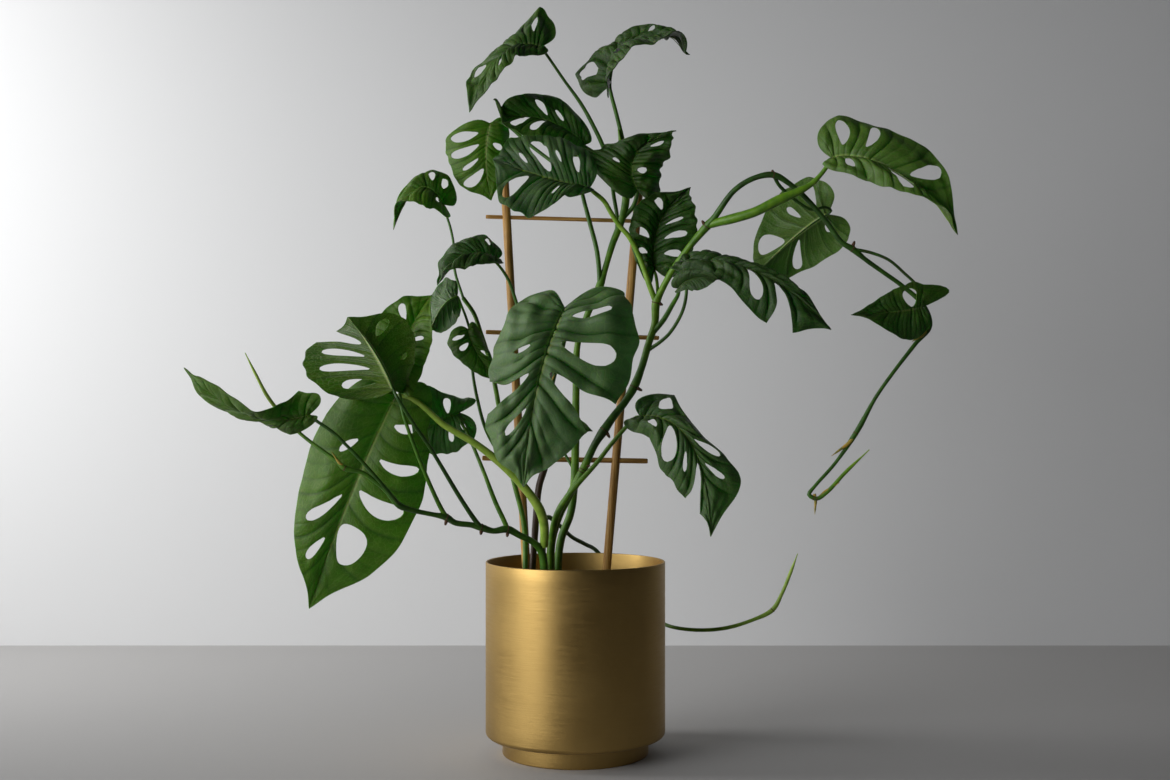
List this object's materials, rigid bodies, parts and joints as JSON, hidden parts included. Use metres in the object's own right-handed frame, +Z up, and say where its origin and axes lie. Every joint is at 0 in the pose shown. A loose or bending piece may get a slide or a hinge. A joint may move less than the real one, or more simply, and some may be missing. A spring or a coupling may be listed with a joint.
{
  "type": "monstera adansonii in a pot",
  "caption": "Vining monstera with holed heart-shaped leaves, climbing a small bamboo ladder in a round brass pot on a stepped foot.",
  "frame": {"origin": "centre of the pot's foot, on the surface that it stands on", "axes": "+Z up along the pot's axis; -Y is the plant's front, where its ladder is seen face on; +X is to the right from there"},
  "size_m": [0.5921, 0.2193, 0.6325],
  "materials": {
    "brass": "satin, brushed round the pot",
    "soil": "matte, crumbly",
    "bamboo": "satin, dried",
    "stem": "satin",
    "leaf": "satin gloss on top, paler beneath"
  },
  "bodies": {
    "root": {"pot": "brass", "soil": "soil", "cane_left": "bamboo", "cane_right": "bamboo", "rung_top": "bamboo", "rung_middle": "bamboo", "rung_bottom": "bamboo", "vine_creeping": "stem", "vine_main": "stem", "stem_central": "stem", "stem_left": "stem", "vine_left": "stem", "shoot_trailing": "stem", "leaf_01": "leaf", "leaf_02": "leaf", "leaf_03": "leaf", "leaf_04": "leaf", "leaf_05": "leaf", "leaf_06": "leaf", "leaf_07": "leaf", "leaf_08": "leaf", "leaf_09": "leaf", "leaf_10": "leaf", "leaf_11": "leaf", "leaf_12": "leaf", "leaf_13": "leaf", "leaf_14": "leaf", "leaf_15": "leaf", "leaf_16": "leaf", "leaf_17": "leaf", "leaf_18": "leaf", "leaf_19": "leaf", "leaf_20": "leaf", "leaf_21": "leaf", "leaf_22": "leaf", "leaf_23": "leaf", "leaf_24": "leaf"}
  },
  "joints": []
}
